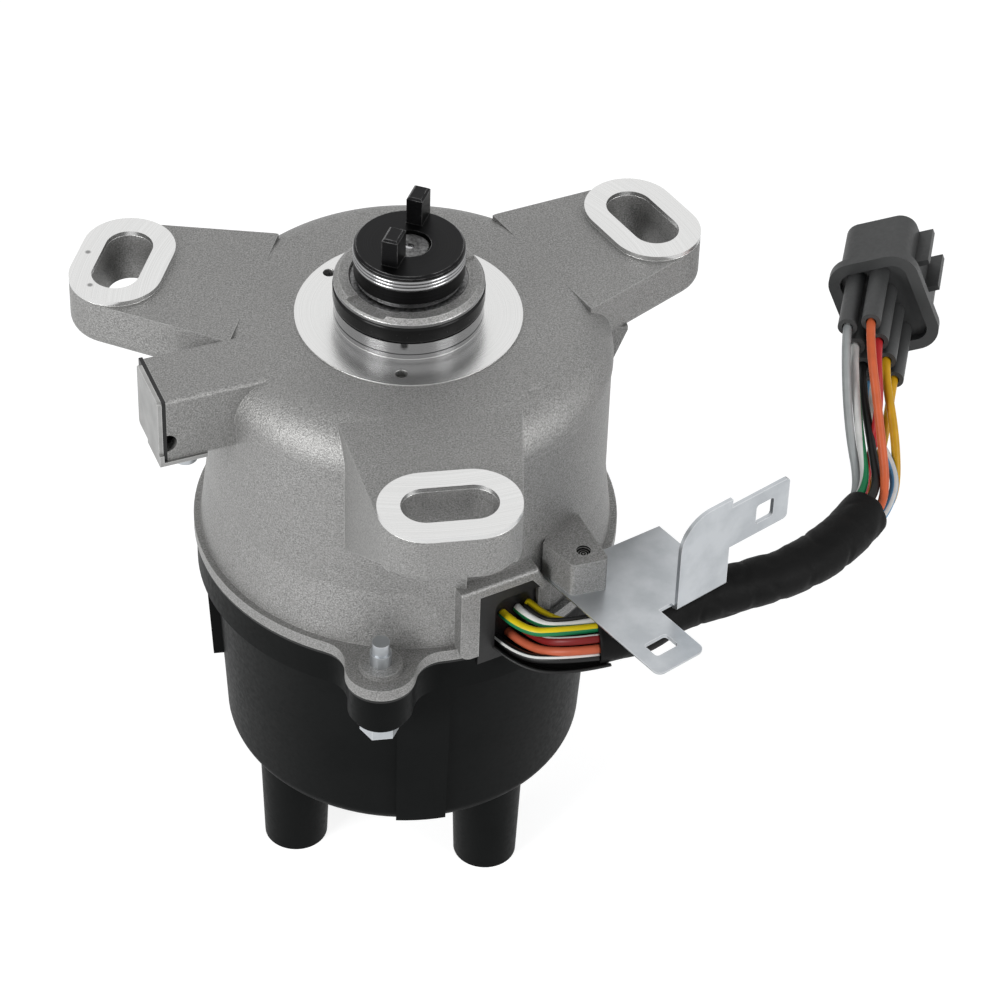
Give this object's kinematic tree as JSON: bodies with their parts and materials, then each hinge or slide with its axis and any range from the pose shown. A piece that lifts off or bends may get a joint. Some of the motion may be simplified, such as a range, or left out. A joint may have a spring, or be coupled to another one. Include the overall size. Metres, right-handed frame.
{
  "type": "ignition distributor",
  "caption": "Engine ignition distributor: slotted aluminium housing with spigot and offset drive coupling, towered black cap, bracket, taped lead and connector.",
  "frame": {"origin": "centre of the machined mounting ring's face, on the shaft's axis", "axes": "+Z along the shaft towards the drive coupling; the front ear lies along -Y"},
  "size_m": [0.2106, 0.1304, 0.1705],
  "materials": {
    "cast_aluminium": "sand-blasted die casting, machined bright on ring, spigot and pads",
    "black_rubber": "satin",
    "bright_steel": "ground",
    "shaft_steel": "turned",
    "black_steel": "black oxide, satin",
    "sintered_bronze": "matte",
    "zinc_steel": "zinc plated",
    "cover_metal": "satin",
    "black_plastic": "satin",
    "brass": "bright",
    "carbon": "matte",
    "connector_grey": "matte",
    "sleeve_tape": "wrinkled tape",
    "lead_insulation": "coloured insulation, one colour for each lead"
  },
  "bodies": {
    "casing": {"bearing_outer_race": "bright_steel", "bearing_snap_ring": "bright_steel", "bracket_screw": "zinc_steel", "brush_spring": "bright_steel", "cap_electrodes": "brass", "cap_screw_1": "zinc_steel", "cap_screw_2": "zinc_steel", "cap_screw_3": "zinc_steel", "cap_seal": "black_rubber", "centre_terminal": "brass", "coil_core": "shaft_steel", "coil_screws": "zinc_steel", "condenser_screw": "zinc_steel", "connector_pins": "brass", "connector_shell": "connector_grey", "crank_pickup": "black_plastic", "cylinder_pickup": "black_plastic", "distributor_cap": "black_plastic", "harness_bracket": "zinc_steel", "harness_sleeve": "sleeve_tape", "housing": "cast_aluminium", "igniter_module": "black_plastic", "igniter_screws": "zinc_steel", "ignition_coil": "black_plastic", "inner_leads": "lead_insulation", "leak_cover": "black_plastic", "lower_bush": "sintered_bronze", "noise_condenser": "zinc_steel", "oil_seal": "shaft_steel", "outer_wires": "lead_insulation", "sensor_plate": "zinc_steel", "sensor_screws": "zinc_steel", "side_cover": "cover_metal", "side_gasket": "black_rubber", "side_screw": "zinc_steel", "spigot_o_ring": "black_rubber", "tdc_pickup": "black_plastic", "tower_terminals": "brass", "wire_grommet": "black_rubber", "wire_seals": "connector_grey"},
    "shaft": {"drive_shaft": "shaft_steel", "drive_coupling": "black_steel", "coupling_pin": "bright_steel", "coupling_spring": "bright_steel", "coupling_washer": "bright_steel", "spacer_sleeve": "bright_steel", "bearing_inner_race": "bright_steel", "crank_reluctor": "shaft_steel", "tdc_reluctor": "shaft_steel", "cylinder_reluctor": "shaft_steel", "shaft_circlip": "bright_steel", "rotor_body": "black_plastic", "rotor_electrode": "brass", "rotor_screw": "zinc_steel"},
    "ball_set": {"bearing_balls": "bright_steel", "bearing_cage": "bright_steel"},
    "brush": {"carbon_brush": "carbon"}
  },
  "joints": [
    {"name": "shaft_spin", "type": "hinge", "parent": "casing", "child": "shaft", "pos_m": [0, 0, 0], "axis": [0, 0, 1], "continuous": true},
    {"name": "cage_spin", "type": "hinge", "parent": "casing", "child": "ball_set", "pos_m": [0, 0, 0], "axis": [0, 0, 1], "continuous": true},
    {"name": "brush_slide", "type": "slide", "parent": "casing", "child": "brush", "axis": [0, 0, -1], "range_m": [0, 0.0015], "stiffness_N_per_m": 100, "deforming": ["brush_spring"]}
  ],
  "couplings": [
    {"joint": "cage_spin", "follows": "shaft_spin", "ratio": 0.389}
  ]
}
